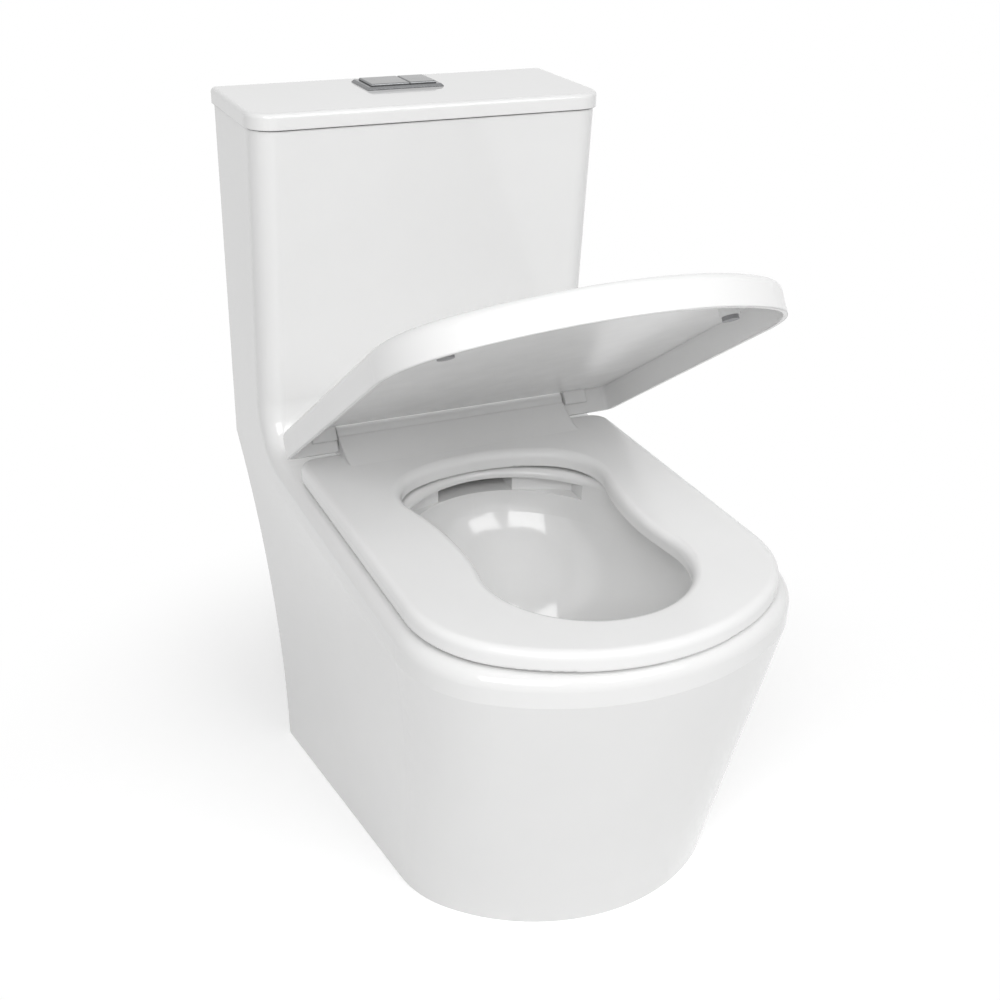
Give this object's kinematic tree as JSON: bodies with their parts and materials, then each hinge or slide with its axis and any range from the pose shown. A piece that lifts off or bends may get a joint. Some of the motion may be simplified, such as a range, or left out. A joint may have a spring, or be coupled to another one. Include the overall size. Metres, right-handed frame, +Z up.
{
  "type": "floor-standing toilet",
  "caption": "One-piece skirted toilet with a rimless bowl, a cistern with a dual flush plate, a hinged seat ring and a wrap-over cover.",
  "frame": {"origin": "on the floor, under the middle of the overall width and length", "axes": "+Z up, the front of the pan faces -Y, +X to the right of someone facing the front"},
  "size_m": [0.42, 0.722, 0.7256],
  "materials": {
    "glaze": "clear white glaze, high gloss",
    "lid_glaze": "clear white glaze, high gloss",
    "seat_plastic": "hard white moulding, polished",
    "hinge_plastic": "white moulding, polished",
    "chrome": "bright plate, softly polished",
    "white_fitting": "moulded, low sheen",
    "grey_fitting": "moulded, low sheen",
    "rod_plastic": "moulded, low sheen",
    "steel": "stainless, drawn",
    "dark_rubber": "moulded, matt",
    "grey_rubber": "moulded, matt"
  },
  "bodies": {
    "pan": {"ceramic_body": "glaze", "ceramic_cistern": "glaze", "ceramic_bowl": "glaze", "ceramic_duct": "glaze", "ceramic_housing": "glaze", "trapway": "glaze", "outlet_seal": "dark_rubber", "fill_valve_shank": "grey_fitting", "fill_valve_head": "white_fitting", "inlet_washer": "dark_rubber", "inlet_nut": "grey_fitting", "flush_valve_base": "white_fitting", "base_gasket": "dark_rubber", "flush_valve_tower": "white_fitting", "hinge_post_left": "hinge_plastic", "hinge_post_right": "hinge_plastic", "hinge_pin_left": "steel", "hinge_pin_right": "steel", "hinge_bolt_left": "steel", "hinge_bolt_right": "steel", "hinge_plug_left": "dark_rubber", "hinge_plug_right": "dark_rubber"},
    "lid": {"cistern_lid": "lid_glaze", "lid_pads": "grey_rubber", "flush_plate_bezel": "chrome", "button_tray": "white_fitting", "clamp_bridge": "white_fitting", "clamp_nut": "grey_fitting", "full_flush_spring": "steel", "half_flush_spring": "steel"},
    "full_button": {"full_flush_button": "chrome", "full_flush_push_rod": "rod_plastic"},
    "half_button": {"half_flush_button": "chrome", "half_flush_push_rod": "rod_plastic"},
    "flush_valve": {"overflow_tube": "grey_fitting", "valve_seal": "dark_rubber"},
    "float": {"fill_float": "grey_fitting"},
    "seat": {"seat_ring": "seat_plastic", "seat_bumpers": "grey_rubber"},
    "cover": {"seat_cover": "seat_plastic", "cover_bumpers": "grey_rubber"}
  },
  "joints": [
    {"name": "lid_lift", "type": "slide", "parent": "pan", "child": "lid", "axis": [0, 0, 1], "range_m": [0, 0.2]},
    {"name": "full_flush", "type": "slide", "parent": "lid", "child": "full_button", "axis": [0, 0, -1], "range_m": [0, 0.007], "stiffness_N_per_m": 400, "springref_m": -0.004, "deforming": ["full_flush_spring"]},
    {"name": "half_flush", "type": "slide", "parent": "lid", "child": "half_button", "axis": [0, 0, -1], "range_m": [0, 0.007], "stiffness_N_per_m": 400, "springref_m": -0.004, "deforming": ["half_flush_spring"]},
    {"name": "valve_lift", "type": "slide", "parent": "pan", "child": "flush_valve", "axis": [0, 0, 1], "range_m": [0, 0.0201]},
    {"name": "float_rise", "type": "slide", "parent": "pan", "child": "float", "axis": [0, 0, 1], "range_m": [0, 0.09]},
    {"name": "seat_hinge", "type": "hinge", "parent": "pan", "child": "seat", "pos_m": [0, 0.149, 0.372], "axis": [-1, 0, 0], "range_deg": [0, 30]},
    {"name": "cover_hinge", "type": "hinge", "parent": "pan", "child": "cover", "pos_m": [0, 0.149, 0.372], "axis": [-1, 0, 0], "range_deg": [-33.3, 59]}
  ],
  "couplings": [
    {"joint": "valve_lift", "follows": "full_flush", "ratio": 2.8571}
  ]
}
